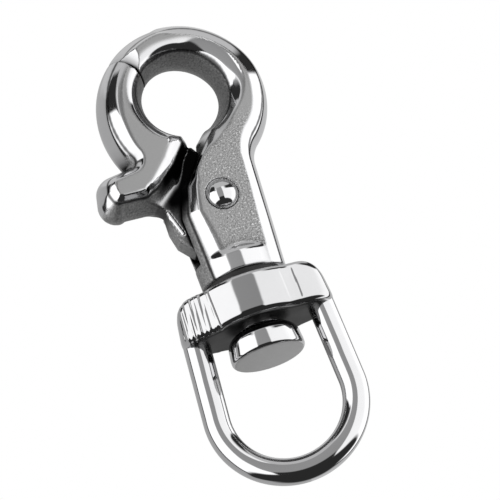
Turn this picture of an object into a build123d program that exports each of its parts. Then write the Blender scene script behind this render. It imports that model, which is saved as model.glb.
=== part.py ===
from build123d import *
import math
import os

os.makedirs("parts", exist_ok=True)

# Driving dimensions, in mm and degrees.
# Drawn with the centre of the hook head, on the swivel axis, at the origin; moved at the end
# so that the centre of the eye is the origin. +Z runs along the swivel axis from the bail up
# to the hook, +X points from the eye to the spine side, and -Y is the front.

# Section shared by the two hook castings
LAND_Y = 0.8            # straight band on each side of the mid-plane
SHOULDER_Y = 4.4        # where the drafted side wall meets the bevel
HALF_THICK = 6.0        # flat front and back faces
SHOULDER_INSET = 1.4    # how far the side wall leans in by the shoulder
BEVEL_INSET = 1.5
CUT_CLEAR = 1.0         # cutters run past the faces they go through

# Hook head
EYE_CENTRE = (-0.45, 0.35)
EYE_R = 7.0
HEAD_R = 15.4
THROAT_RIGHT_ANGLE = -71.0
THROAT_LEFT_ANGLE = 254.0
JAW_R = 17.3
JAW_CENTRE = (0.9, -2.0)
JAW_FOOT_ANGLE = 208.0  # where the jaw's outer arc runs into the thumb ledge
LEDGE_FILLET = 3.4
LEDGE_POINTS = [
    (-1.5, -9.1),
    (-5.2, -13.7),
    (-11.9, -19.5),
    (-21.9, -19.5),
    (-20.3, -11.2),
]
# Angles of the points that the long arcs are drawn through
ARM_INNER_MID = 40.0
ARM_OUTER_MID = 60.0
JAW_INNER_MID = 190.0
JAW_OUTER_MID = 170.0
# The nose of the body meets the tip of the jaw at a plane
JOINT_ANGLE = 132.5          # direction in which the plane runs outward from the eye
JOINT_POINT = (-6.08, 5.2)   # a point on the plane, close to the wall of the eye
JOINT_GAP = 0.2
NOSE_CHAMFER = 0.2
OVERRUN_ANGLE = 20.0         # both outlines are drawn this far past the plane, then trimmed
OVERRUN_CLEAR = 8.0          # thickness of the block that trims them
SAME_DIRECTION = 1e-3        # largest difference between two unit vectors taken as equal

# Hook body below the eye
NECK_FILLET = 6.0
SPINE_X = 9.0
SPINE_FOOT_X = 8.0       # the spine leans in towards the base
FLANK_FILLET = 4.0
SLOT_HALF = 2.35
SLOT_TOP = (-0.6, -8.2)
SLOT_TURN_Z = -18.6      # the slot's right wall is upright below this height
SLOT_RIGHT_X = 5.3
SLOT_OPEN_X = -20.0
SLOT_FLOOR_Z = -31.5
OUTLINE_BOTTOM_Z = -42.0     # the outline runs on below the base before it is trimmed
FLANK_POINTS = [
    (-1.2, -9.4),
    (-6.8, -16.6),
    (-8.4, -22.5),
    (-7.1, OUTLINE_BOTTOM_Z),
    (SPINE_FOOT_X, OUTLINE_BOTTOM_Z),
]
BASE_R = 7.3
BASE_TOP_R = 6.0
BASE_TOP_Z = -30.7
BASE_RIM_Z = -32.0
CHEEK_FOOT_R = 8.5      # the cheeks' corners are turned off to this radius
CHEEK_FLARE_R = 10.4
CHEEK_FLARE_Z = -27.0
BASE_Z = -35.6
BASE_EDGE = 0.4
BORE_OVERRUN = 0.1       # the pin's bore runs this far past the slot floor and the base

# Trigger jaw
WEB_HALF = 2.1
HUB_R = 5.0

# Pivot rivet
PIVOT = (0.0, -20.7)
RIVET_R = 2.0
RIVET_CLEARANCE = 0.06
RIVET_HEAD_R = 2.7
RIVET_HEAD_H = 1.7

# Return spring, lying along X in the slot
SPRING_Z = -27.6
SPRING_R = 1.55
SPRING_WIRE_R = 0.25
SPRING_TURNS = 5.5
SPRING_LEFT_X = -2.4
SPRING_END_GAP = 0.05

# Web of the jaw, which swings in the slot; its right edge at the bottom holds the spring
WEB_POINTS = [
    (-4.0, -8.6),
    (-1.6, -9.2),
    (4.4, -18.5),
    (3.9, -23.6),
    (0.5, -25.6),
    (SPRING_LEFT_X, -25.9),
    (SPRING_LEFT_X, -29.3),
    (-6.8, -29.0),
    (-9.2, -26.4),
    (-9.9, -23.5),
    (-9.9, -20.0),
    (-12.0, -16.5),
    (-9.0, -10.0),
]

# Thrust washer
WASHER_R = 7.0
WASHER_HOLE_R = 3.75
WASHER_THICK = 1.4
WASHER_EDGE = 0.3

# Swivel collar
SWIVEL_REST = -15.0     # the swivel is drawn turned by this angle about +Z
COLLAR_TOP_Z = -37.2
COLLAR_BOTTOM_Z = -45.2
COLLAR_HALF_X = 14.6
COLLAR_HALF_Y = 9.3
COLLAR_TOP_HALF_X = 13.5
COLLAR_END_CLEAR = 0.5   # the sloping ends start this far outside the oval at the bottom
COLLAR_SHOULDER_R = 3.6
COLLAR_TOP_EDGE = 1.4
COLLAR_BOTTOM_EDGE = 0.4
COLLAR_BORE_R = 3.58

# Swivel pin
PIN_R = 3.5
PIN_HEAD_R = 6.8
PIN_HEAD_TOP_Z = -45.7
PIN_HEAD_BOTTOM_Z = -50.8
PIN_HEAD_SHOULDER = 2.0
PIN_HEAD_EDGE = 0.25

# Bail
ROD_R = 2.45
BAIL_BEND_R = 12.6
BAIL_BEND_Z = -59.9
BAIL_LEG_LEAN = 3.6
BAIL_LEG_TOP_Z = -42.0


def polar(radius, degrees, centre=(0.0, 0.0)):
    """Point in the XZ plane at an angle from +X round a centre."""
    angle = math.radians(degrees)
    return (centre[0] + radius * math.cos(angle), centre[1] + radius * math.sin(angle))


def eye_point(degrees):
    return polar(EYE_R, degrees, EYE_CENTRE)


def casting(outline):
    """Solid of a mid-plane outline: straight land, drafted sides and a bevel, both ways."""
    edge = outline.faces()[0].outer_wire()
    shoulder = edge.offset_2d(-SHOULDER_INSET, kind=Kind.INTERSECTION)
    rim = shoulder.offset_2d(-BEVEL_INSET, kind=Kind.INTERSECTION)
    raised_shoulder = Pos(0, 0, SHOULDER_Y) * shoulder
    side = Solid.make_loft([Pos(0, 0, LAND_Y) * edge, raised_shoulder], ruled=True)
    bevel = Solid.make_loft([raised_shoulder, Pos(0, 0, HALF_THICK) * rim], ruled=True)
    land = extrude(outline, LAND_Y, both=True)
    front = side + bevel
    return Rot(90, 0, 0) * (land + front + mirror(front, about=Plane.XY))


def joint_trim(side):
    """Cutter that ends a casting at the joint plane; side +1 clears the jaw's side, -1 the nose's."""
    reach = 2 * HEAD_R
    block = Box(reach, 4 * HALF_THICK, OVERRUN_CLEAR)
    outward = (reach - EYE_R) / 2
    aside = side * (OVERRUN_CLEAR - JOINT_GAP) / 2
    plane = Pos(JOINT_POINT[0], 0, JOINT_POINT[1]) * Rot(0, -JOINT_ANGLE, 0)
    return plane * Pos(outward, 0, aside) * block


def body_outline():
    """Mid-plane outline of the hook body: arm round the eye, spine and cheeks."""
    nose = JOINT_ANGLE + OVERRUN_ANGLE
    neck_x = SPINE_X + NECK_FILLET
    neck_z = -math.sqrt((HEAD_R + NECK_FILLET) ** 2 - neck_x**2)
    neck_angle = math.degrees(math.atan2(neck_z, neck_x))
    inner = ThreePointArc(eye_point(nose), eye_point(ARM_INNER_MID), eye_point(THROAT_RIGHT_ANGLE))
    flank = FilletPolyline(inner @ 1, *FLANK_POINTS, (SPINE_X, neck_z), radius=FLANK_FILLET)
    neck_mid = (
        neck_x + NECK_FILLET * math.cos(math.radians(180 + neck_angle / 2)),
        neck_z + NECK_FILLET * math.sin(math.radians(180 + neck_angle / 2)),
    )
    neck = ThreePointArc(flank @ 1, neck_mid, polar(HEAD_R, neck_angle))
    outer = ThreePointArc(neck @ 1, polar(HEAD_R, ARM_OUTER_MID), polar(HEAD_R, nose))
    return make_face([inner, flank, neck, outer, Line(outer @ 1, inner @ 0)])


def jaw_outline():
    """Mid-plane outline of the jaw's full-thickness part with its thumb ledge."""
    tip = JOINT_ANGLE - OVERRUN_ANGLE
    inner = ThreePointArc(
        eye_point(tip), eye_point(JAW_INNER_MID), eye_point(THROAT_LEFT_ANGLE)
    )
    arc_angles = (JAW_FOOT_ANGLE, JAW_OUTER_MID, tip)
    arc_points = [polar(JAW_R, angle, JAW_CENTRE) for angle in arc_angles]
    lower = FilletPolyline(inner @ 1, *LEDGE_POINTS, arc_points[0], radius=LEDGE_FILLET)
    outer = ThreePointArc(*arc_points)
    return make_face([inner, lower, outer, Line(outer @ 1, inner @ 0)])


def slot_tool():
    """Cutter for the channel that the jaw's web swings in, open to the left."""
    profile = Polygon(
        SLOT_TOP,
        (SLOT_RIGHT_X, SLOT_TURN_Z),
        (SLOT_RIGHT_X, SLOT_FLOOR_Z),
        (SLOT_OPEN_X, SLOT_FLOOR_Z),
        (SLOT_OPEN_X, SLOT_TOP[1]),
        align=None,
    )
    return extrude(Plane.XZ * profile, SLOT_HALF, both=True)


def pivot_cylinder(radius, half_length):
    return Pos(PIVOT[0], 0, PIVOT[1]) * Rot(90, 0, 0) * Cylinder(radius, 2 * half_length)


def turned_base(radius, upper):
    """Solid turned round the swivel axis: a plain rim, closed above by section points."""
    rim = [
        (0, BASE_Z),
        (radius - BASE_EDGE, BASE_Z),
        (radius, BASE_Z + BASE_EDGE),
        (radius, BASE_RIM_Z),
    ]
    return revolve(Plane.XZ * make_face(Polyline(*rim, *upper, close=True)), Axis.Z)


def body_envelope():
    """Turned space that rounds the cheeks' lower corners."""
    wide = 4 * HEAD_R
    high = 2 * HEAD_R
    upper = [(CHEEK_FLARE_R, CHEEK_FLARE_Z), (wide, 0), (wide, high), (0, high)]
    return turned_base(CHEEK_FOOT_R, upper)


def make_base():
    """Round foot that the swivel turns against, coned up to the flat faces."""
    return turned_base(BASE_R, [(BASE_TOP_R, BASE_TOP_Z), (0, BASE_TOP_Z)])


def chamfer_nose(body):
    """Break the edges of the nose's end face, which seats in the jaw tip."""
    angle = math.radians(JOINT_ANGLE)
    normal = Vector(-math.sin(angle), 0, math.cos(angle))
    ends = [face for face in body.faces() if (face.normal_at() - normal).length < SAME_DIRECTION]
    return chamfer(ends[0].edges(), NOSE_CHAMFER)


def make_hook_body():
    body = chamfer_nose(casting(body_outline()) - joint_trim(1))
    body = (body & body_envelope()) + make_base() - slot_tool()
    body = body - pivot_cylinder(RIVET_R, HALF_THICK + CUT_CLEAR)
    bore_length = SLOT_FLOOR_Z - BASE_Z + 2 * BORE_OVERRUN
    bore = Pos(0, 0, (SLOT_FLOOR_Z + BASE_Z) / 2) * Cylinder(PIN_R, bore_length)
    return body - bore


def make_trigger_jaw():
    jaw = casting(jaw_outline()) - joint_trim(-1)
    web = Polygon(*WEB_POINTS, align=None)
    hub = Pos(*PIVOT) * Circle(HUB_R)
    jaw = jaw + extrude(Plane.XZ * (web + hub), WEB_HALF, both=True)
    return jaw - pivot_cylinder(RIVET_R + RIVET_CLEARANCE, HALF_THICK)


def make_pivot_rivet():
    """Shank with a domed head pressed over each cheek."""
    rivet = pivot_cylinder(RIVET_R, HALF_THICK)
    dome_r = (RIVET_HEAD_R**2 + RIVET_HEAD_H**2) / (2 * RIVET_HEAD_H)
    sphere_y = -HALF_THICK - RIVET_HEAD_H + dome_r
    sphere = Pos(PIVOT[0], sphere_y, PIVOT[1]) * Sphere(dome_r)
    slab_y = -HALF_THICK - RIVET_HEAD_H / 2
    slab = Pos(PIVOT[0], slab_y, PIVOT[1]) * Box(4 * RIVET_HEAD_R, RIVET_HEAD_H, 4 * RIVET_HEAD_R)
    head = sphere & slab
    return rivet + head + mirror(head, about=Plane.XZ)


def make_jaw_spring():
    length = SLOT_RIGHT_X - SPRING_LEFT_X - 2 * SPRING_END_GAP - 2 * SPRING_WIRE_R
    path = Helix(length / SPRING_TURNS, length, SPRING_R)
    wire = sweep(Plane(path @ 0, z_dir=path % 0) * Circle(SPRING_WIRE_R), path)
    start_x = SPRING_LEFT_X + SPRING_END_GAP + SPRING_WIRE_R
    return Pos(start_x, 0, SPRING_Z) * Rot(0, 90, 0) * wire


def make_thrust_washer():
    centre_z = BASE_Z - WASHER_THICK / 2
    ring = Cylinder(WASHER_R, WASHER_THICK) - Cylinder(WASHER_HOLE_R, WASHER_THICK)
    rims = ring.edges().filter_by(GeomType.CIRCLE).group_by(SortBy.RADIUS)[-1]
    return Pos(0, 0, centre_z) * fillet(rims, WASHER_EDGE)


def bail_path():
    lean = math.radians(BAIL_LEG_LEAN)
    bend_x = BAIL_BEND_R * math.cos(lean)
    bend_z = BAIL_BEND_Z + BAIL_BEND_R * math.sin(lean)
    top_x = bend_x - (BAIL_LEG_TOP_Z - bend_z) * math.tan(lean)
    left = Line((-top_x, BAIL_LEG_TOP_Z), (-bend_x, bend_z))
    bend = ThreePointArc((-bend_x, bend_z), (0, BAIL_BEND_Z - BAIL_BEND_R), (bend_x, bend_z))
    right = Line((bend_x, bend_z), (top_x, BAIL_LEG_TOP_Z))
    return Plane.XZ * (left + bend + right)


def make_bail():
    path = bail_path()
    return sweep(Plane(path @ 0, z_dir=path % 0) * Circle(ROD_R), path)


def make_swivel_collar(bail):
    """Oval block turned from a round profile stretched along X, with rounded shoulders."""
    height = COLLAR_TOP_Z - COLLAR_BOTTOM_Z
    disc = Pos(0, 0, COLLAR_BOTTOM_Z + height / 2) * Cylinder(COLLAR_HALF_Y, height)
    rims = disc.edges().filter_by(GeomType.CIRCLE).sort_by(Axis.Z)
    disc = fillet(rims[-1], COLLAR_TOP_EDGE)
    rims = disc.edges().filter_by(GeomType.CIRCLE).sort_by(Axis.Z)
    disc = fillet(rims[0], COLLAR_BOTTOM_EDGE)
    oval = scale(disc, by=(COLLAR_HALF_X / COLLAR_HALF_Y, 1, 1))
    bottom_x = COLLAR_HALF_X + COLLAR_END_CLEAR
    shoulders = FilletPolyline(
        (-bottom_x, COLLAR_BOTTOM_Z),
        (-COLLAR_TOP_HALF_X, COLLAR_TOP_Z),
        (COLLAR_TOP_HALF_X, COLLAR_TOP_Z),
        (bottom_x, COLLAR_BOTTOM_Z),
        radius=COLLAR_SHOULDER_R,
    )
    front = make_face([shoulders, Line(shoulders @ 1, shoulders @ 0)])
    collar = oval & extrude(Plane.XZ * front, 2 * COLLAR_HALF_Y, both=True)
    bore = Pos(0, 0, COLLAR_BOTTOM_Z + height / 2) * Cylinder(COLLAR_BORE_R, height + CUT_CLEAR)
    return collar - bore - bail


def make_swivel_pin():
    """Shank through the collar into the body, with a round button head below."""
    section = Polyline(
        (0, PIN_HEAD_BOTTOM_Z),
        (PIN_HEAD_R, PIN_HEAD_BOTTOM_Z),
        (PIN_HEAD_R, PIN_HEAD_TOP_Z),
        (PIN_R, PIN_HEAD_TOP_Z),
        (PIN_R, SLOT_FLOOR_Z),
        (0, SLOT_FLOOR_Z),
        close=True,
    )
    pin = revolve(Plane.XZ * make_face(section), Axis.Z)
    rims = pin.edges().filter_by(GeomType.CIRCLE).sort_by(SortBy.RADIUS)[-2:]
    lower, upper = rims.sort_by(Axis.Z)
    pin = fillet(upper, PIN_HEAD_SHOULDER)
    lower = pin.edges().filter_by(GeomType.CIRCLE).sort_by(Axis.Z)[0]
    return fillet(lower, PIN_HEAD_EDGE)


turned = Rot(0, 0, SWIVEL_REST)
bail = make_bail()
nodes = {
    "hook_body": make_hook_body(),
    "trigger_jaw": make_trigger_jaw(),
    "pivot_rivet": make_pivot_rivet(),
    "jaw_spring": make_jaw_spring(),
    "thrust_washer": make_thrust_washer(),
    "swivel_pin": make_swivel_pin(),
    "swivel_collar": turned * make_swivel_collar(bail),
    "bail": turned * bail,
}
to_eye_centre = Pos(-EYE_CENTRE[0], 0, -EYE_CENTRE[1])
for name, shape in nodes.items():
    export_step(to_eye_centre * shape, f"parts/{name}.step")
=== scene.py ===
import math

import bpy
import numpy as np
from mathutils import Matrix, Vector


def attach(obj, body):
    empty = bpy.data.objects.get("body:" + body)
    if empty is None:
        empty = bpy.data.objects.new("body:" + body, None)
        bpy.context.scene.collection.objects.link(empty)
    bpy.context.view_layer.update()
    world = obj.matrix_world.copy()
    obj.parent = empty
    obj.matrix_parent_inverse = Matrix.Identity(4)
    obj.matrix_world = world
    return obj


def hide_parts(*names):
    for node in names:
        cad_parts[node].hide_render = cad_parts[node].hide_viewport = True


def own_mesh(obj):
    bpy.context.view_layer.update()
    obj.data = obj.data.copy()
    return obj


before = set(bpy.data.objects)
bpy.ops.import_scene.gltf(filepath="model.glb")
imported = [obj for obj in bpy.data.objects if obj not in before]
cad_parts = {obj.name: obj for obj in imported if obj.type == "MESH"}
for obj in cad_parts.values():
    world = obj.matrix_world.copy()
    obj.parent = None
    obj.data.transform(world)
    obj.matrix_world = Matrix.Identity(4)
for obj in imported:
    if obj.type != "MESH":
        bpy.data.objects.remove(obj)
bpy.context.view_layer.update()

# Every length below is in millimetres, drawn on the swivel axis with the head's centre at the
# origin; meshes are moved to the frame's origin, the centre of the eye, and scaled to metres
# when they are made.
MM = 0.001
EYE_CENTRE = (-0.45, 0.35)

# Section of the two castings
LAND_Y = 0.8
SHOULDER_Y = 4.4
HALF_THICK = 6.0
SHOULDER_INSET = 1.4

# Hook body and jaw outlines
EYE_R = 7.0
HEAD_R = 15.4
THROAT_RIGHT_ANGLE = -71.0
THROAT_LEFT_ANGLE = 254.0
JOINT_ANGLE = 132.5
JOINT_POINT = (-6.08, 5.2)
OVERRUN = 20.0        # both outlines run this many degrees past the joint before it trims them
JOINT_GAP = 0.2
SPINE_X = 9.0
SPINE_FOOT_X = 8.0
NECK_FILLET = 6.0
JAW_R = 17.3
JAW_CENTRE = (0.9, -2.0)
PIVOT = (0.0, -20.7)
HUB_R = 5.0
WEB_HALF = 2.1
RIVET_R = 2.0
SLOT_HALF = 2.35
SLOT_RIGHT_X = 5.3
SLOT_FLOOR_Z = -31.5
BASE_Z = -35.6
BASE_R = 7.3
CHEEK_FOOT_R = 8.5
BASE_RIM_Z = -32.0
BASE_TOP_R = 6.0
BASE_TOP_Z = -30.7
RIVET_HEAD_R = 2.7
NOSE_FACET_X = -6.5                       # a small facet takes off the nose's corner here
RIDGE = ((-9.7, -20.4), (-8.2, -25.0))    # raised line along the web's left side
JAW_FOOT_ANGLE = 208.0
FLANK_FILLET = 4.0
LEDGE_FILLET = 3.4
SLOT_TOP = (-0.6, -8.2)
SLOT_TURN_Z = -18.6
FLANK_POINTS = [
    (-1.2, -9.4),
    (-6.8, -16.6),
    (-8.4, -22.5),
    (-7.1, -42.0),
    (SPINE_FOOT_X, -42.0),
]
LEDGE_POINTS = [
    (-1.5, -9.1),
    (-5.2, -13.7),
    (-11.9, -19.5),
    (-21.9, -19.5),
    (-20.3, -11.2),
]
THROAT_DIRECTION = (-0.727, -0.685)    # the jaw's lower edge runs this way from the throat
WEB_POINTS = [
    (-4.0, -8.6),
    (-1.6, -9.2),
    (4.4, -18.5),
    (3.9, -23.6),
    (0.5, -25.6),
    (-2.4, -25.9),
    (-2.4, -29.3),
    (-6.8, -29.0),
    (-9.2, -26.4),
    (-9.9, -23.5),
    (-9.9, -20.0),
    (-12.0, -16.5),
    (-9.0, -10.0),
]

# Swivel
SWIVEL_TURN = -15.0
COLLAR_TOP_Z = -37.2
COLLAR_BOTTOM_Z = -45.2
COLLAR_HALF_X = 14.6
COLLAR_BORE_R = 3.58
BOSS_R = 11.8            # the boss is bounded by two arcs, each centred this far off:
BOSS_SHIFT = 2.5
PIN_R = 3.5
PIN_HEAD_R = 6.8
PIN_HEAD_TOP_Z = -45.7
PIN_HEAD_BOTTOM_Z = -50.8
ROD_R = 2.45
BAIL_BEND_R = 12.6
BAIL_BEND_Z = -59.9
BAIL_LEG_LEAN = 3.6
BAIL_LEG_TOP_Z = -42.0


# ---------------------------------------------------------------- plane outlines


def polar(radius, degrees, centre=(0.0, 0.0)):
    angle = math.radians(degrees)
    return (centre[0] + radius * math.cos(angle), centre[1] + radius * math.sin(angle))


def eye_point(degrees):
    return polar(EYE_R, degrees, EYE_CENTRE)


def arc(centre, radius, start, end):
    """Arc from start to end in degrees; it runs anticlockwise if end is larger."""
    return ("arc", centre, radius, start, end)


def line(a, b):
    return ("line", a, b)


def fillet_chain(points, radius):
    """Lines through the points, with every inner corner rounded."""
    parts = []
    last = np.array(points[0], float)
    for i in range(1, len(points) - 1):
        corner = np.array(points[i], float)
        before = np.array(points[i - 1], float) - corner
        after = np.array(points[i + 1], float) - corner
        before /= np.linalg.norm(before)
        after /= np.linalg.norm(after)
        half = math.acos(np.clip(before @ after, -1, 1)) / 2
        reach = radius / math.tan(half)
        a = corner + before * reach
        b = corner + after * reach
        middle = before + after
        centre = corner + middle / np.linalg.norm(middle) * radius / math.sin(half)
        start = math.degrees(math.atan2(a[1] - centre[1], a[0] - centre[0]))
        end = math.degrees(math.atan2(b[1] - centre[1], b[0] - centre[0]))
        sweep = (end - start + 180) % 360 - 180
        parts.append(line(tuple(last), tuple(a)))
        parts.append(arc(tuple(centre), radius, start, start + sweep))
        last = b
    parts.append(line(tuple(last), tuple(points[-1])))
    return parts


def flatten(parts, step=1.5):
    """Closed polygon that follows an outline."""
    points = []
    for part in parts:
        if part[0] == "line":
            points.append(part[1])
            continue
        _, centre, radius, start, end = part
        count = max(2, int(abs(end - start) / step))
        for k in range(count):
            x, z = polar(radius, start + (end - start) * k / count)
            points.append((centre[0] + x, centre[1] + z))
    return np.array(points)


def outline_distance(parts, x, z):
    """Signed distance from points to a closed outline, negative inside."""
    best = np.full(x.shape, 1e9)
    for part in parts:
        if part[0] == "line":
            ax, az = part[1]
            ex, ez = part[2][0] - ax, part[2][1] - az
            along = ((x - ax) * ex + (z - az) * ez) / max(ex * ex + ez * ez, 1e-12)
            along = np.clip(along, 0, 1)
            reach = np.hypot(x - ax - along * ex, z - az - along * ez)
        else:
            _, centre, radius, start, end = part
            vx, vz = x - centre[0], z - centre[1]
            middle = math.radians((start + end) / 2)
            half = math.radians(abs(end - start) / 2)
            turn = np.arctan2(vz, vx) - middle
            turn = (turn + math.pi) % (2 * math.pi) - math.pi
            turn = middle + np.clip(turn, -half, half)
            reach = np.hypot(vx - radius * np.cos(turn), vz - radius * np.sin(turn))
        best = np.minimum(best, reach)
    polygon = flatten(parts)
    inside = np.zeros(x.shape, bool)
    previous = polygon[-1]
    for point in polygon:
        spans = (point[1] > z) != (previous[1] > z)
        rise = previous[1] - point[1]
        if rise != 0:
            crossing = point[0] + (z - point[1]) * (previous[0] - point[0]) / rise
            inside ^= spans & (x < crossing)
        previous = point
    return np.where(inside, -best, best)


def body_outline():
    nose = JOINT_ANGLE + OVERRUN
    neck_x = SPINE_X + NECK_FILLET
    neck_z = -math.sqrt((HEAD_R + NECK_FILLET) ** 2 - neck_x**2)
    neck_angle = math.degrees(math.atan2(neck_z, neck_x))
    flank = [eye_point(THROAT_RIGHT_ANGLE), *FLANK_POINTS, (SPINE_X, neck_z)]
    parts = [arc(EYE_CENTRE, EYE_R, nose, THROAT_RIGHT_ANGLE)]
    parts += fillet_chain(flank, FLANK_FILLET)
    parts.append(arc((neck_x, neck_z), NECK_FILLET, 180.0, 180.0 + neck_angle))
    parts.append(arc((0, 0), HEAD_R, neck_angle, nose))
    parts.append(line(polar(HEAD_R, nose), eye_point(nose)))
    return parts


def jaw_outline():
    tip = JOINT_ANGLE - OVERRUN
    foot = polar(JAW_R, JAW_FOOT_ANGLE, JAW_CENTRE)
    lower = [eye_point(THROAT_LEFT_ANGLE), *LEDGE_POINTS, foot]
    parts = [arc(EYE_CENTRE, EYE_R, tip, THROAT_LEFT_ANGLE)]
    parts += fillet_chain(lower, LEDGE_FILLET)
    parts.append(arc(JAW_CENTRE, JAW_R, JAW_FOOT_ANGLE, tip))
    parts.append(line(polar(JAW_R, tip, JAW_CENTRE), eye_point(tip)))
    return parts


# ---------------------------------------------------------------- distance fields


def smin(a, b, k):
    h = np.clip(0.5 + 0.5 * (b - a) / k, 0, 1)
    return b + (a - b) * h - k * h * (1 - h)


def smax(a, b, k):
    return -smin(-a, -b, k)


def ramp(value, low, high):
    t = np.clip((value - low) / (high - low), 0, 1)
    return t * t * (3 - 2 * t)


def casting(flat, y, inset, bevel, edge):
    """Casting section over an outline distance: land, drafted side, bevel and flat face."""
    height = np.abs(y)
    draft = inset / (SHOULDER_Y - LAND_Y)
    side = (flat + (height - LAND_Y) * draft) / np.hypot(1, draft)
    slope = bevel / (HALF_THICK - SHOULDER_Y)
    cut = (flat + inset + (height - SHOULDER_Y) * slope) / np.hypot(1, slope)
    shape = smax(flat, side, 0.5)
    shape = smax(shape, cut, 0.75)
    return smax(shape, height - HALF_THICK, edge)


def joint_distance(x, z):
    """Distance past the joint plane towards the jaw."""
    angle = math.radians(JOINT_ANGLE + 90)
    return (x - JOINT_POINT[0]) * math.cos(angle) + (z - JOINT_POINT[1]) * math.sin(angle)


def box_distance(x, y, z, low, high):
    dx = np.maximum(low[0] - x, x - high[0])
    dy = np.maximum(low[1] - y, y - high[1])
    dz = np.maximum(low[2] - z, z - high[2])
    return np.maximum(np.maximum(dx, dy), dz)


def eye_polar(x, z):
    """Radius and angle in degrees of points round the eye's centre."""
    ex, ez = x - EYE_CENTRE[0], z - EYE_CENTRE[1]
    return np.hypot(ex, ez), np.degrees(np.arctan2(ez, ex))


def body_sections(x, z):
    """Side inset, bevel width and edge rounding of the hook body over its plan."""
    radius, angle = eye_polar(x, z)
    right = ramp(x, -2.0, 3.0)
    inside = ramp(radius, 11.9, 10.9) * ramp(z, -9.0, -5.0)
    top = ramp(z, 2.0, 12.0)
    spine = 1.9 + 0.4 * ramp(-z, 18.0, 30.0) + 0.4 * ramp(z, -8.0, -2.0)
    flank = 0.3 + 1.5 * ramp(-z, 14.5, 18.0) + 1.2 * ramp(-z, 18.0, 31.0)
    outer = flank + (spine - flank) * right + 0.5 * top
    inner = 0.3 + 2.4 * ramp(angle, -75.0, 10.0) - 1.2 * ramp(angle, 45.0, 90.0)
    inner = np.where(angle > -120, inner, 1.3)
    bevel = outer + (inner - outer) * inside
    inset = SHOULDER_INSET + 0.65 * top * (1 - inside)
    edge = 0.35 + 0.9 * inside * ramp(z, -2, 4)
    return inset, bevel, edge


def body_field(x, y, z):
    flat = outline_distance(body_parts, x, z)
    inset, bevel, edge = body_sections(x, z)
    shape = casting(flat, y, inset, bevel, edge)
    nose_side = (x < 0) & (z > 0)
    across = joint_distance(x, z) + JOINT_GAP / 2
    shape = smax(shape, np.where(nose_side, across, -10.0), 0.3)
    face = np.abs(y) - HALF_THICK
    nose = (face + across) / math.sqrt(2) + 0.8
    shape = smax(shape, np.where(nose_side, nose, -10.0), 0.25)
    corner = 0.55 * (NOSE_FACET_X - x) + 0.82 * (np.abs(y) - HALF_THICK) + 0.15 * (10.5 - z)
    shape = smax(shape, np.where(nose_side, corner, -10.0), 0.15)
    ring = np.hypot(x, y)
    envelope = ring - CHEEK_FOOT_R - 1.9 * ramp(z, BASE_RIM_Z, -27.0) - 40 * ramp(z, -27.0, 0)
    envelope = np.where(z > -26, -10.0, envelope)
    shape = smax(shape, envelope, 0.5)
    shape = smax(shape, BASE_Z - z, 0.4)
    cone = (ring - BASE_TOP_R + (z - BASE_TOP_Z)) / math.sqrt(2)
    foot = smax(smax(ring - BASE_R, cone, 0.5), BASE_Z - z, 0.5)
    shape = smin(shape, foot, 0.7)
    low = (-2 * HEAD_R, -SLOT_HALF, SLOT_FLOOR_Z)
    slot = box_distance(x, y, z, low, (SLOT_RIGHT_X, SLOT_HALF, SLOT_TOP[1]))
    fall, run = SLOT_TOP[1] - SLOT_TURN_Z, SLOT_RIGHT_X - SLOT_TOP[0]
    slope = ((x - SLOT_TOP[0]) * fall + (z - SLOT_TOP[1]) * run) / math.hypot(fall, run)
    slot = np.maximum(slot, slope)
    shape = smax(shape, -slot, 0.3)
    round_pivot = np.hypot(x - PIVOT[0], z - PIVOT[1])
    groove = np.hypot(round_pivot - RIVET_HEAD_R - 0.1, np.abs(y) - HALF_THICK) - 0.22
    shape = smax(shape, -groove, 0.15)
    return np.maximum(shape, RIVET_R - round_pivot)


def jaw_sections(x, z):
    """Side inset, bevel width and edge rounding of the jaw over its plan."""
    radius, angle = eye_polar(x, z)
    inside = ramp(radius, 11.3, 10.3) * ramp(z, -8.5, -6.0)
    outer = 1.4 + 0.7 * ramp(z, -10.0, -3.0)
    ledge = 0.7 + 0.9 * ramp(-x, 17.0, 18.6)
    bevel = outer + (ledge - outer) * ramp(-z, 14.0, 15.4) * ramp(-x, 10.0, 12.0)
    (start_x, start_z), (run_x, run_z) = LEDGE_POINTS[0], THROAT_DIRECTION
    along = run_x * (x - start_x) + run_z * (z - start_z)
    depth = run_z * (x - start_x) - run_x * (z - start_z)
    throat = 2.4 - 0.9 * ramp(along, 2.0, 13.0)
    bevel = bevel + (throat - bevel) * ramp(depth, 4.2, 3.4) * ramp(along, 15.0, 12.0)
    bevel = bevel + (1.9 - bevel) * inside
    inset = SHOULDER_INSET + 0.5 * ramp(-z, 15.0, 16.5) * ramp(-x, 10.0, 12.5)
    return inset, bevel, 0.35 + 0.35 * ramp(z, -4, 4)


def jaw_field(x, y, z):
    flat = outline_distance(jaw_parts, x, z)
    height = np.abs(y)
    inset, bevel, edge = jaw_sections(x, z)
    shape = casting(flat, y, inset, bevel, edge)
    across = -joint_distance(x, z) + JOINT_GAP / 2
    shape = smax(shape, np.where(z > 0, across, -10.0), 0.2)
    rim = (height - HALF_THICK + across) / math.sqrt(2) + 0.35
    shape = smax(shape, np.where(z > 0, rim, -10.0), 0.15)
    web = outline_distance(web_parts, x, z)
    web = smax(web, height - WEB_HALF, 0.5)
    round_pivot = np.hypot(x - PIVOT[0], z - PIVOT[1])
    hub = smax(round_pivot - HUB_R, height - WEB_HALF, 0.5)
    web = smin(web, hub, 0.3)
    web = smin(web, ridge_distance(x, y, z) - 0.25, 0.2)
    blend = 0.3 + 2.2 * ramp(-z, 9, 13) * ramp(-x, 3.5, 7)
    shape = smin(shape, web, blend)
    return np.maximum(shape, RIVET_R - round_pivot)


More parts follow.
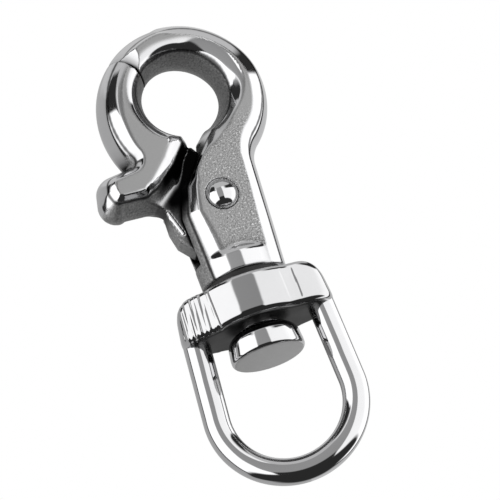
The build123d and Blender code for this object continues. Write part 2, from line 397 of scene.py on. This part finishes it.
def collar_field(x, y, z):
    """Round boss with a rounded lug at each end; x runs along the lugs."""
    across = np.abs(y)
    front, back = np.hypot(x, y - BOSS_SHIFT), np.hypot(x, y + BOSS_SHIFT)
    lens = smax(front, back, 0.3) - BOSS_R
    reach = np.abs(x)
    lug = smax(reach - COLLAR_HALF_X, across - 7.0 + 0.25 * (reach - 6.0), 5.0)
    height = z - (COLLAR_TOP_Z + COLLAR_BOTTOM_Z) / 2
    flutes = 0.07 * np.sin(3.1 * x + 0.2 * height) + 0.05 * np.sin(7.3 * x - 0.5 * height + 1.0)
    plan = smin(lens, lug + flutes * ramp(-x, 6.6, 8.0) * ramp(x, -13.6, -12.6), 0.4)
    middle = ramp(np.abs(height), 3.2, 2.2)
    plan += 0.16 * np.exp(-(((x + 6.7 + 0.05 * height) / 0.3) ** 2)) * (y < 0)
    for place, depth in ((6.9, 0.07), (8.7, 0.09)):
        plan += depth * np.exp(-(((x - place + 0.06 * height) / 0.2) ** 2)) * (y < 0) * middle
    lean = 1.3 * (z - COLLAR_BOTTOM_Z) / (COLLAR_TOP_Z - COLLAR_BOTTOM_Z)
    ends = (reach - COLLAR_HALF_X + lean) / 1.013
    cap = smax(ends, z - COLLAR_TOP_Z, 3.4)
    shape = smax(plan, cap, 1.1)
    shape = smax(shape, COLLAR_BOTTOM_Z - z, 2.0)
    return smax(shape, COLLAR_BORE_R - np.hypot(x, y), 0.3)


# ---------------------------------------------------------------- field to mesh


def surface_net(field, low, high, cell):
    """Vertices and quads of a field's zero surface, one vertex per crossed cell."""
    axes = [np.arange(a, b + cell, cell) for a, b in zip(low, high)]
    x, y, z = np.meshgrid(*axes, indexing="ij")
    values = field(x.ravel(), y.ravel(), z.ravel()).reshape(x.shape)
    inside = values < 0
    count = np.zeros([n - 1 for n in inside.shape], int)
    for i in (0, 1):
        for j in (0, 1):
            for k in (0, 1):
                ni, nj, nk = count.shape
                count += inside[i : i + ni, j : j + nj, k : k + nk]
    crossed = (count > 0) & (count < 8)
    index = np.full(count.shape, -1)
    cells = np.argwhere(crossed)
    index[crossed] = np.arange(len(cells))
    points = np.array(low) + (cells + 0.5) * cell
    quads = []
    for axis in range(3):
        a = np.moveaxis(inside, axis, 0)
        idx = np.moveaxis(index, axis, 0)
        starts = a[:-1, 1:-1, 1:-1]
        ends = a[1:, 1:-1, 1:-1]
        for outward in (True, False):
            hit = np.argwhere(starts & ~ends if outward else ~starts & ends)
            i, j, k = hit[:, 0], hit[:, 1], hit[:, 2]
            loop = [idx[i, j, k], idx[i, j + 1, k], idx[i, j + 1, k + 1], idx[i, j, k + 1]]
            if outward == (axis == 1):
                loop.reverse()
            quads.append(np.stack(loop, axis=1))
    quads = np.concatenate(quads)
    return points, quads[(quads >= 0).all(axis=1)]


def gradient(field, points, step=0.02):
    result = np.empty_like(points)
    for axis in range(3):
        shift = np.zeros(3)
        shift[axis] = step
        ahead = field(*(points + shift).T)
        behind = field(*(points - shift).T)
        result[:, axis] = (ahead - behind) / (2 * step)
    return result


def settle(field, points, cell, rounds=4):
    """Moves the vertices onto the zero surface and returns them with their normals."""
    for _ in range(rounds):
        slope = gradient(field, points)
        value = field(*points.T)
        size = np.maximum((slope**2).sum(axis=1), 0.05)
        move = slope * (value / size)[:, None]
        length = np.linalg.norm(move, axis=1, keepdims=True)
        move *= np.minimum(1, cell / np.maximum(length, 1e-9))
        points = points - move
    slope = gradient(field, points)
    return points, slope / np.maximum(np.linalg.norm(slope, axis=1, keepdims=True), 1e-9)


def openness(points, normals):
    """How far the castings leave the space in front of each point clear, 0 to 1; the castings'
    colour is darkened where it is low, as painted shade.
    """
    hidden = np.zeros(len(points))
    for distance, weight in ((0.6, 0.5), (1.4, 0.35), (2.8, 0.25), (5.0, 0.2)):
        ahead = (points + normals * distance).T
        clear = np.minimum(body_field(*ahead), jaw_field(*ahead))
        hidden += weight * np.clip(1 - clear / distance, 0, 1.5)
    return 1 - np.clip(hidden, 0, 1)


def ridge_distance(x, y, z):
    """Distance to the raised line along the web's left side."""
    (ax, az), (bx, bz) = RIDGE
    along = ((x - ax) * (bx - ax) + (z - az) * (bz - az)) / ((bx - ax) ** 2 + (bz - az) ** 2)
    along = np.clip(along, 0, 1)
    plan = np.hypot(x - ax - along * (bx - ax), z - az - along * (bz - az))
    return np.hypot(plan, np.abs(y) - WEB_HALF)


def painted_edge_line(parts, sections, x, y, z):
    """Mask of a painted dark reflection band, uneven, along the edge where a casting's side wall
    meets its bevel.
    """
    inset = sections(x, z)[0]
    flat = outline_distance(parts, x, z)
    distance = np.hypot(np.abs(y) - SHOULDER_Y, flat + inset)
    angle = np.degrees(np.arctan2(z, x))
    width = 0.5
    for place, spread in ((112.0, 13.0), (38.0, 20.0)):
        width = width + 0.35 * np.exp(-(((angle - place) / spread) ** 2))
    width = width + 0.06 * np.sin(angle * 0.9) * np.sin(angle * 0.37 + 1.0)
    return ramp(distance, width, 0.45 * width)


def cast_finish(points, normals):
    """Masks of a casting: matt faces, grained cheeks, rough walls, painted shade in recesses and
    under the ledge, a painted dark reflection line along the bevel edges, and openness for
    painted shade where the castings close in.
    """
    x, y, z = points.T
    radius, _ = eye_polar(x, z)
    height = np.abs(y)
    steep = ramp(np.abs(normals[:, 1]), 0.9, 0.985)
    eye_wall = ramp(radius, EYE_R + 1.75, EYE_R + 1.45) * ramp(z, -8.5, -6.5)
    web = steep * ramp(height, 4.0, 3.4)
    under = ramp(-normals[:, 2], 0.3, 0.6) * ramp(-x, 2.0, 4.0)
    recess = ramp(np.abs(normals[:, 0]), 0.3, 0.5) * ramp(-x, -1.0, 0.5) * ramp(x, -15.0, -12.0)
    low = ramp(-z, 8.0, 9.0) * ramp(height, 4.9, 4.4)
    recess = np.maximum(np.maximum(web, under), recess) * low
    depth = (1 - ramp(-x, 8.5, 12.5)) * (1 - 0.9 * ramp(-z, 19.0, 25.0))
    line_mask = np.maximum(
        painted_edge_line(body_parts, body_sections, x, y, z) * ramp(x, -9.0, -8.0),
        painted_edge_line(jaw_parts, jaw_sections, x, y, z) * ramp(-x, 3.0, 4.0),
    )
    keep = ramp(ridge_distance(x, y, z), 0.4, 0.6)
    recess = recess * keep
    return {
        "matt": steep * ramp(height, 5.5, 5.9) * ramp(-height, -6.25, -6.1),
        "grain": ramp(-z, 4.0, 10.0) * ramp(x, -6.0, 0.0),
        "rough": np.maximum(eye_wall, recess),
        # Painted shade: near-black in the recesses (strongest by the V), a little on the eye's
        # wall, and the painted dark reflection line by the bevels
        "painted_shade": np.maximum(np.maximum(0.3 * eye_wall, recess * depth), 0.85 * line_mask),
        "open": np.maximum(openness(points, normals), 1 - keep),
    }


def collar_finish(points, normals):
    """The collar's underside gets painted shade: its colour is darkened, and it is left dull."""
    return {"painted_shade": ramp(-normals[:, 2], 0.9, 0.98)}


def add_object(name, points, faces, normals, attributes):
    """Smooth mesh object in the frame, with vertex normals and named masks."""
    moved = (points - np.array([EYE_CENTRE[0], 0.0, EYE_CENTRE[1]])) * MM
    mesh = bpy.data.meshes.new(name)
    mesh.from_pydata(moved.tolist(), [], faces)
    mesh.polygons.foreach_set("use_smooth", [True] * len(mesh.polygons))
    mesh.normals_split_custom_set_from_vertices(normals.tolist())
    for attribute, values in attributes.items():
        layer = mesh.attributes.new(attribute, "FLOAT", "POINT")
        layer.data.foreach_set("value", values.astype(np.float32))
    obj = bpy.data.objects.new(name, mesh)
    bpy.context.scene.collection.objects.link(obj)
    return obj


def turned(vectors, degrees):
    """Vectors turned about +Z."""
    angle = math.radians(degrees)
    x, y, z = vectors.T
    c, s = math.cos(angle), math.sin(angle)
    return np.stack([x * c - y * s, x * s + y * c, z], axis=1)


def field_object(name, field, finish, low, high, cell, turn=0.0):
    """Smooth mesh object of a distance field."""
    points, quads = surface_net(field, low, high, cell)
    points, normals = settle(field, points, cell)
    masks = finish(points, normals)
    return add_object(name, turned(points, turn), quads.tolist(), turned(normals, turn), masks)


def grid_faces(rows, columns):
    """Quads of a grid of points whose columns close up on themselves."""
    faces = []
    for i in range(rows - 1):
        for j in range(columns):
            k = (j + 1) % columns
            row, above = i * columns, (i + 1) * columns
            faces.append((row + j, row + k, above + k, above + j))
    return faces


def bail_path():
    """Points of the rod's centre line, from leg to leg."""
    lean = math.radians(BAIL_LEG_LEAN)
    bend_x = BAIL_BEND_R * math.cos(lean)
    bend_z = BAIL_BEND_Z + BAIL_BEND_R * math.sin(lean)
    top_x = bend_x - (BAIL_LEG_TOP_Z - bend_z) * math.tan(lean)
    count = 96
    leg = [
        (-top_x + (top_x - bend_x) * t, BAIL_LEG_TOP_Z + (bend_z - BAIL_LEG_TOP_Z) * t)
        for t in (0, 0.25, 0.5, 0.75)
    ]
    sweep = 180 + 2 * BAIL_LEG_LEAN
    bend = [
        polar(BAIL_BEND_R, 180 - BAIL_LEG_LEAN + sweep * k / count, (0, BAIL_BEND_Z))
        for k in range(count + 1)
    ]
    other = [(-x, z) for x, z in reversed(leg)]
    return np.array(leg + bend + other)


def rod_object(name, path, radius, turn):
    """Round rod swept along a path in the XZ plane, closed at both ends."""
    sides = 64
    direction = np.gradient(path, axis=0)
    direction /= np.linalg.norm(direction, axis=1, keepdims=True)
    around = np.linspace(0, 2 * math.pi, sides, endpoint=False)
    outward = np.stack([direction[:, 1], -direction[:, 0]], axis=1)
    normals = np.zeros((len(path), sides, 3))
    normals[:, :, 0] = outward[:, :1] * np.cos(around)
    normals[:, :, 2] = outward[:, 1:] * np.cos(around)
    normals[:, :, 1] = np.sin(around)
    centre = np.stack([path[:, 0], np.zeros(len(path)), path[:, 1]], axis=1)
    points = (centre[:, None, :] + radius * normals).reshape(-1, 3)
    faces = grid_faces(len(path), sides)
    last = (len(path) - 1) * sides
    faces.append(tuple(range(sides - 1, -1, -1)))
    faces.append(tuple(range(last, last + sides)))
    # Painted shade on the rod's inner side, the side that faces the bend's centre
    inner = np.tile(ramp(-np.cos(around), 0.86, 0.98), len(path))
    normals = turned(normals.reshape(-1, 3), turn)
    return add_object(name, turned(points, turn), faces, normals, {"painted_shade": 0.85 * inner})


def pin_profile():
    """Radius and height of the pin from its shank's top to the middle of its end."""
    shoulder = 2.4
    edge = 0.8
    rim = PIN_HEAD_R - 0.15
    profile = [(0.0, SLOT_FLOOR_Z), (PIN_R, SLOT_FLOOR_Z), (PIN_R, PIN_HEAD_TOP_Z)]
    centre = (rim - shoulder, PIN_HEAD_TOP_Z - shoulder)
    profile += [polar(shoulder, 90 - 90 * k / 14, centre) for k in range(15)]
    profile += [(PIN_HEAD_R, PIN_HEAD_BOTTOM_Z + edge + 0.6)]
    centre = (PIN_HEAD_R - edge, PIN_HEAD_BOTTOM_Z + edge)
    profile += [polar(edge, -90 * k / 6, centre) for k in range(7)]
    profile += [(0.0, PIN_HEAD_BOTTOM_Z)]
    return profile


def lathe_object(name, profile):
    """Mesh turned round the swivel axis, shaded smooth except at sharp corners."""
    sides = 128
    around = np.linspace(0, 2 * math.pi, sides, endpoint=False)
    points = []
    for radius, z in profile:
        reach = max(radius, 0.01)
        height = z - EYE_CENTRE[1]
        for angle in around:
            across = reach * math.cos(angle) - EYE_CENTRE[0]
            points.append((across, reach * math.sin(angle), height))
    faces = [tuple(reversed(face)) for face in grid_faces(len(profile), sides)]
    last = (len(profile) - 1) * sides
    faces.append(tuple(range(sides)))
    faces.append(tuple(reversed(range(last, last + sides))))
    mesh = bpy.data.meshes.new(name)
    mesh.from_pydata([tuple(v * MM for v in point) for point in points], [], faces)
    mesh.polygons.foreach_set("use_smooth", [True] * len(mesh.polygons))
    mesh.set_sharp_from_angle(angle=math.radians(25))
    obj = bpy.data.objects.new(name, mesh)
    bpy.context.scene.collection.objects.link(obj)
    return obj


def spring_object(node):
    """The return spring as a piece of its own."""
    obj = bpy.data.objects.new("return_spring", node.data.copy())
    bpy.context.scene.collection.objects.link(obj)
    return obj


body_parts = body_outline()
jaw_parts = jaw_outline()
web_parts = [line(a, b) for a, b in zip(WEB_POINTS, WEB_POINTS[1:] + WEB_POINTS[:1])]

CELL = 0.24
# Corners of the space that each field is sampled in
BODY_SPACE = ((-13.0, -8.6, -36.8), (16.4, 8.6, 16.4))
JAW_SPACE = ((-22.4, -6.8, -30.2), (6.0, 6.8, 10.6))
COLLAR_SPACE = ((-15.4, -10.2, -46.0), (15.4, 10.2, -36.4))
body = field_object("hook_casting", body_field, cast_finish, *BODY_SPACE, CELL)
jaw = field_object("jaw_casting", jaw_field, cast_finish, *JAW_SPACE, CELL)
collar = field_object(
    "collar_block", collar_field, collar_finish, *COLLAR_SPACE, CELL, SWIVEL_TURN
)
bail = rod_object("bail_rod", bail_path(), ROD_R, SWIVEL_TURN)
pin = lathe_object("pin_turned", pin_profile())
spring = spring_object(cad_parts["jaw_spring"])
for piece, rider, node, slot in (
    (body, "hook", "hook_body", "cast_steel"),
    (jaw, "jaw", "trigger_jaw", "jaw_steel"),
    (collar, "swivel", "swivel_collar", "collar_steel"),
    (bail, "swivel", "bail", "rod_steel"),
    (pin, "hook", "swivel_pin", "pin_steel"),
    (spring, "hook", "jaw_spring", "spring_steel"),
):
    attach(piece, rider)
    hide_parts(node)
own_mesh(spring)


# ---------------------------------------------------------------- materials


def maths(tree, operation, a, b=None):
    """Math node whose inputs are sockets or plain numbers."""
    node = tree.nodes.new("ShaderNodeMath")
    node.operation = operation
    for socket, value in zip(node.inputs, (a, b)):
        if value is None:
            continue
        if isinstance(value, (int, float)):
            socket.default_value = value
        else:
            tree.links.new(value, socket)
    return node.outputs[0]


def mix_colour(tree, factor, a, b):
    node = tree.nodes.new("ShaderNodeMix")
    node.data_type = "RGBA"
    tree.links.new(factor, node.inputs["Factor"])
    for socket, value in ((node.inputs[6], a), (node.inputs[7], b)):
        if isinstance(value, tuple):
            socket.default_value = value
        else:
            tree.links.new(value, socket)
    return node.outputs[2]


def blend_values(tree, factor, low, high):
    """Value that goes from low to high as factor goes from 0 to 1."""
    node = tree.nodes.new("ShaderNodeMapRange")
    node.inputs["To Min"].default_value = low
    node.inputs["To Max"].default_value = high
    tree.links.new(factor, node.inputs["Value"])
    return node.outputs[0]


def noise(tree, scale, detail=4.0):
    """Noise over the piece's own coordinates; scale is per metre."""
    place = tree.nodes.new("ShaderNodeTexCoord")
    node = tree.nodes.new("ShaderNodeTexNoise")
    node.inputs["Scale"].default_value = scale
    node.inputs["Detail"].default_value = detail
    tree.links.new(place.outputs["Object"], node.inputs["Vector"])
    return node.outputs["Fac"]


def bump(tree, height, strength, distance):
    node = tree.nodes.new("ShaderNodeBump")
    node.inputs["Strength"].default_value = strength
    node.inputs["Distance"].default_value = distance
    tree.links.new(height, node.inputs["Height"])
    return node.outputs[0]


def new_metal(name):
    material = bpy.data.materials.new(name)
    material.use_nodes = True
    shader = material.node_tree.nodes["Principled BSDF"]
    shader.inputs["Metallic"].default_value = 1.0
    return material, material.node_tree, shader


def mask(tree, name):
    node = tree.nodes.new("ShaderNodeAttribute")
    node.attribute_name = name
    return node.outputs["Fac"]


def mix_values(tree, factor, a, b):
    node = tree.nodes.new("ShaderNodeMix")
    tree.links.new(factor, node.inputs["Factor"])
    tree.links.new(a, node.inputs["A"])
    tree.links.new(b, node.inputs["B"])
    return node.outputs[0]


def polished_steel(name, tint, low=0.03, high=0.09):
    """Mirror steel with smears in its polish, slightly wavy, darkened by painted shade and
    rougher where the shade mask is set.
    """
    material, tree, shader = new_metal(name)
    smear = noise(tree, 160.0)
    painted_shade = mask(tree, "painted_shade")
    polish = blend_values(tree, smear, low, high)
    roughness = mix_values(tree, painted_shade, polish, blend_values(tree, smear, 0.3, 0.5))
    tree.links.new(roughness, shader.inputs["Roughness"])
    clean = (tint, tint, tint * 1.01, 1)
    dull = (tint * 0.88, tint * 0.88, tint * 0.89, 1)
    colour = mix_colour(tree, smear, clean, dull)
    # Painted shade: near-black where the shade mask is set
    colour = mix_colour(tree, painted_shade, colour, (0.02, 0.02, 0.02, 1))
    tree.links.new(colour, shader.inputs["Base Color"])
    waves = noise(tree, 150.0, 1.0)
    tree.links.new(bump(tree, waves, 0.25, 0.0004), shader.inputs["Normal"])
    return material


def cast_steel(name):
    """Polished casting with matt faces, grained cheeks, rough eye wall, and painted shade in its
    crevices and where the castings close in.
    """
    material, tree, shader = new_metal(name)
    names = ("matt", "grain", "rough", "painted_shade", "open")
    matt, grain, rough, painted_shade, clear = (mask(tree, part) for part in names)
    fine = noise(tree, 2600.0, 5.0)
    grit = noise(tree, 3000.0, 2.0)
    patches = blend_values(tree, noise(tree, 420.0, 2.0), 0.54, 0.68)
    speck = tree.nodes.new("ShaderNodeMapRange")
    tree.links.new(grit, speck.inputs["Value"])
    tree.links.new(patches, speck.inputs["From Min"])
    speck.inputs["From Max"].default_value = 0.72
    mottled = mix_colour(tree, grit, (0.05, 0.05, 0.05, 1), (0.72, 0.72, 0.72, 1))
    speckled = mix_colour(tree, speck.outputs[0], mottled, (0.9, 0.9, 0.9, 1))
    plain = mix_colour(tree, fine, (0.33, 0.33, 0.33, 1), (0.4, 0.4, 0.4, 1))
    face = mix_colour(tree, grain, plain, speckled)
    colour = mix_colour(tree, matt, (0.78, 0.78, 0.79, 1), face)
    gritted = mix_colour(tree, grit, (0.08, 0.08, 0.08, 1), (0.75, 0.75, 0.75, 1))
    colour = mix_colour(tree, rough, colour, gritted)
    # Painted shade in the recesses and the painted dark reflection line by the bevels
    colour = mix_colour(tree, painted_shade, colour, (0.002, 0.002, 0.002, 1))
    # Painted shade: near-black where little space in front of the point is clear
    colour = mix_colour(tree, maths(tree, "POWER", clear, 1.5), (0.003, 0.003, 0.003, 1), colour)
    tree.links.new(colour, shader.inputs["Base Color"])
    polish = blend_values(tree, noise(tree, 160.0), 0.04, 0.11)
    roughness = mix_values(tree, matt, polish, blend_values(tree, fine, 0.3, 0.42))
    roughness = mix_values(tree, rough, roughness, blend_values(tree, grit, 0.45, 0.6))
    tree.links.new(roughness, shader.inputs["Roughness"])
    gritty = maths(tree, "MAXIMUM", maths(tree, "MULTIPLY", matt, grain), rough)
    height = maths(tree, "MULTIPLY", grit, gritty)
    tree.links.new(bump(tree, height, 0.5, 0.0002), shader.inputs["Normal"])
    return material


def pin_steel(name):
    """Turned pin: polished side, satin flat end below."""
    material = polished_steel(name, 0.76)
    tree = material.node_tree
    shader = tree.nodes["Principled BSDF"]
    place = tree.nodes.new("ShaderNodeTexCoord")
    split = tree.nodes.new("ShaderNodeSeparateXYZ")
    tree.links.new(place.outputs["Object"], split.inputs[0])
    end_height = (PIN_HEAD_BOTTOM_Z - EYE_CENTRE[1] + 0.12) * MM
    end = maths(tree, "LESS_THAN", split.outputs[2], end_height)
    roughness = tree.nodes.new("ShaderNodeMix")
    tree.links.new(end, roughness.inputs["Factor"])
    tree.links.new(shader.inputs["Roughness"].links[0].from_socket, roughness.inputs["A"])
    tree.links.new(blend_values(tree, noise(tree, 900.0), 0.34, 0.46), roughness.inputs["B"])
    tree.links.new(roughness.outputs[0], shader.inputs["Roughness"])
    polished = shader.inputs["Base Color"].links[0].from_socket
    colour = mix_colour(tree, end, polished, (0.5, 0.5, 0.5, 1))
    tree.links.new(colour, shader.inputs["Base Color"])
    return material


def dull_plastic(name):
    material = bpy.data.materials.new(name)
    material.use_nodes = True
    tree = material.node_tree
    shader = tree.nodes["Principled BSDF"]
    grain = noise(tree, 700.0)
    colour = mix_colour(tree, grain, (0.008, 0.008, 0.008, 1), (0.02, 0.02, 0.02, 1))
    tree.links.new(colour, shader.inputs["Base Color"])
    tree.links.new(blend_values(tree, grain, 0.45, 0.65), shader.inputs["Roughness"])
    return material


def paint(obj, material):
    obj.data.materials.clear()
    obj.data.materials.append(material)


casting_metal = cast_steel("cast_steel")
paint(body, casting_metal)
paint(jaw, casting_metal)
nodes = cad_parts
paint(nodes["pivot_rivet"], polished_steel("rivet_steel", 0.78))
paint(pin, pin_steel("pin_steel"))
paint(collar, polished_steel("collar_steel", 0.68))
paint(bail, polished_steel("rod_steel", 0.76))
paint(spring, polished_steel("spring_steel", 0.5, 0.15, 0.3))
# The washer is black plastic; its near-black colour also stands in for the shade in the gap
# between the hook body and the collar
paint(nodes["thrust_washer"], dull_plastic("washer_black"))


# ---------------------------------------------------------------- studio and camera


def step_ramp(tree, value, stops):
    """Colour ramp of grey stops, given as (position, brightness)."""
    ramp_node = tree.nodes.new("ShaderNodeValToRGB")
    elements = ramp_node.color_ramp.elements
    for position, _ in stops[2:]:
        elements.new(position)
    for element, (position, grey) in zip(elements, stops):
        element.position = position
        element.color = (grey, grey, grey, 1)
    tree.links.new(value, ramp_node.inputs[0])
    return ramp_node.outputs["Color"]


VIEW_AZIMUTH = math.radians(-15.0)
VIEW_ELEVATION = math.radians(-19.5)
VIEW_ROLL = math.radians(19.0)
CAMERA_DISTANCE = 0.9
FIELD_WIDTH = 0.0895
AIM = (0.00367, 0.0008, -0.0303)

# Tent brightness round the horizon: from behind (0) by the left (0.25), the camera's side
# (0.5) and the right (0.75) to behind (1)
TENT_SIDES = [
    (0.0, 0.35),
    (0.236, 0.3),
    (0.242, 0.015),
    (0.258, 0.015),
    (0.266, 1.0),
    (0.44, 1.0),
    (0.447, 0.26),
    (0.553, 0.24),
    (0.56, 0.84),
    (0.7, 0.86),
    (0.76, 1.0),
    (0.86, 1.0),
    (0.866, 0.015),
    (0.884, 0.015),
    (0.892, 0.4),
    (1.0, 0.45),
]
# Dark parts over the elevation, from straight down (0) to straight up (1): below the side
# panels, and in a band above them that shows only on some sides
TENT_BELOW = [(0.0, 1.0), (0.28, 1.0), (0.31, 0.0), (1.0, 0.0)]
TENT_BAND = [(0.0, 0.0), (0.643, 0.0), (0.655, 1.0), (1.0, 1.0)]
TENT_BAND_SIDES = [
    (0.0, 0.0),
    (0.25, 0.0),
    (0.27, 1.0),
    (0.4, 1.0),
    (0.45, 0.0),
    (0.6, 0.0),
    (0.65, 1.0),
    (0.9, 1.0),
    (0.92, 0.0),
    (1.0, 0.0),
]
# On the left the panel and the dark band above it reach higher
TENT_PANEL_RISE = 0.03
TENT_CEILING_RISE = 0.1
TENT_LEFT = [(0.0, 0.0), (0.25, 0.0), (0.27, 1.0), (0.38, 1.0), (0.42, 0.0), (1.0, 0.0)]
# The grey ceiling starts above the band
TENT_ABOVE = [(0.0, 0.0), (0.735, 0.0), (0.76, 1.0), (1.0, 1.0)]
# The dark part below reaches higher on the camera's side and is missing behind
TENT_FRONT_RISE = 0.09
TENT_FRONT = [(0.0, 1.0), (0.1, 1.0), (0.14, 0.0), (1.0, 0.0)]
TENT_BACK = [(0.0, 0.0), (0.6, 0.0), (0.66, 1.0), (1.0, 1.0)]
TENT_BACK_RISE = [(0.0, 0.0), (0.15, 0.0), (0.22, 1.0), (1.0, 1.0)]
TENT_DARK = (0.02, 0.02, 0.02, 1)
TENT_CEILING = (0.42, 0.42, 0.42, 1)
TENT_STRENGTH = 1.45
TENT_R = 0.42
TENT_Z = -0.03
FLOOR_HALF = 3.0
FLOOR_Z = -0.46


def make_tent():
    """Soft light tent round the object: white side panels, grey front, dark below."""
    bpy.ops.mesh.primitive_uv_sphere_add(
        segments=64, ring_count=32, radius=TENT_R, location=(0, 0, TENT_Z)
    )
    tent = bpy.context.object
    tent.name = "light_tent"
    tent.rotation_euler[2] = VIEW_AZIMUTH
    material = bpy.data.materials.new("tent_light")
    material.use_nodes = True
    tree = material.node_tree
    tree.nodes.clear()
    output = tree.nodes.new("ShaderNodeOutputMaterial")
    emission = tree.nodes.new("ShaderNodeEmission")
    emission.inputs["Strength"].default_value = TENT_STRENGTH
    place = tree.nodes.new("ShaderNodeTexCoord")
    unit = tree.nodes.new("ShaderNodeVectorMath")
    unit.operation = "NORMALIZE"
    split = tree.nodes.new("ShaderNodeSeparateXYZ")
    tree.links.new(place.outputs["Object"], unit.inputs[0])
    tree.links.new(unit.outputs[0], split.inputs[0])
    x, y, z = split.outputs
    azimuth = maths(tree, "ARCTAN2", x, maths(tree, "MULTIPLY", y, -1.0))
    turn = maths(tree, "DIVIDE", azimuth, 2 * math.pi)
    round_all = maths(tree, "ADD", turn, 0.5)
    away = maths(tree, "MULTIPLY", maths(tree, "ABSOLUTE", turn), 2.0)
    rise = maths(tree, "ADD", maths(tree, "DIVIDE", maths(tree, "ARCSINE", z), math.pi), 0.5)
    front = maths(tree, "MULTIPLY", step_ramp(tree, away, TENT_FRONT), TENT_FRONT_RISE)
    sides = step_ramp(tree, round_all, TENT_SIDES)
    below = step_ramp(tree, maths(tree, "SUBTRACT", rise, front), TENT_BELOW)
    back_rise = step_ramp(tree, rise, TENT_BACK_RISE)
    behind = maths(tree, "MULTIPLY", step_ramp(tree, away, TENT_BACK), back_rise)
    below = maths(tree, "SUBTRACT", below, behind)
    left = step_ramp(tree, round_all, TENT_LEFT)
    panel_rise = maths(tree, "SUBTRACT", rise, maths(tree, "MULTIPLY", left, TENT_PANEL_RISE))
    ceiling_rise = maths(tree, "SUBTRACT", rise, maths(tree, "MULTIPLY", left, TENT_CEILING_RISE))
    band_sides = step_ramp(tree, round_all, TENT_BAND_SIDES)
    band = maths(tree, "MULTIPLY", step_ramp(tree, panel_rise, TENT_BAND), band_sides)
    dark = maths(tree, "MAXIMUM", below, band)
    above = step_ramp(tree, ceiling_rise, TENT_ABOVE)
    colour = mix_colour(tree, dark, sides, TENT_DARK)
    colour = mix_colour(tree, above, colour, TENT_CEILING)
    tree.links.new(colour, emission.inputs["Color"])
    tree.links.new(emission.outputs[0], output.inputs["Surface"])
    tent.data.materials.append(material)
    tent.visible_camera = False
    tent.visible_shadow = False
    return tent


def make_floor():
    mesh = bpy.data.meshes.new("floor")
    corners = [
        (x * FLOOR_HALF, y * FLOOR_HALF, FLOOR_Z) for x, y in ((-1, -1), (1, -1), (1, 1), (-1, 1))
    ]
    mesh.from_pydata(corners, [], [(0, 1, 2, 3)])
    floor = bpy.data.objects.new("floor", mesh)
    bpy.context.scene.collection.objects.link(floor)
    material = bpy.data.materials.new("floor_pale")
    material.use_nodes = True
    shader = material.node_tree.nodes["Principled BSDF"]
    shader.inputs["Base Color"].default_value = (0.85, 0.85, 0.84, 1)
    shader.inputs["Roughness"].default_value = 0.9
    mesh.materials.append(material)
    return floor


world = bpy.data.worlds.new("studio")
world.use_nodes = True
world.node_tree.nodes["Background"].inputs["Color"].default_value = (1, 1, 1, 1)
world.node_tree.nodes["Background"].inputs["Strength"].default_value = 1.0
bpy.context.scene.world = world
bpy.context.scene.view_settings.view_transform = "Standard"

make_tent()
make_floor()

back = Vector((
    math.sin(VIEW_AZIMUTH) * math.cos(VIEW_ELEVATION),
    -math.cos(VIEW_AZIMUTH) * math.cos(VIEW_ELEVATION),
    math.sin(VIEW_ELEVATION),
))
camera = bpy.data.objects.new("camera", bpy.data.cameras.new("camera"))
bpy.context.scene.collection.objects.link(camera)
camera.data.lens = camera.data.sensor_width * CAMERA_DISTANCE / FIELD_WIDTH
camera.data.clip_start = 0.01
rotation = (-back).to_track_quat("-Z", "Y").to_matrix() @ Matrix.Rotation(-VIEW_ROLL, 3, "Z")
camera.rotation_mode = "QUATERNION"
camera.rotation_quaternion = rotation.to_quaternion()
camera.location = Vector(AIM) + back * CAMERA_DISTANCE
bpy.context.scene.camera = camera
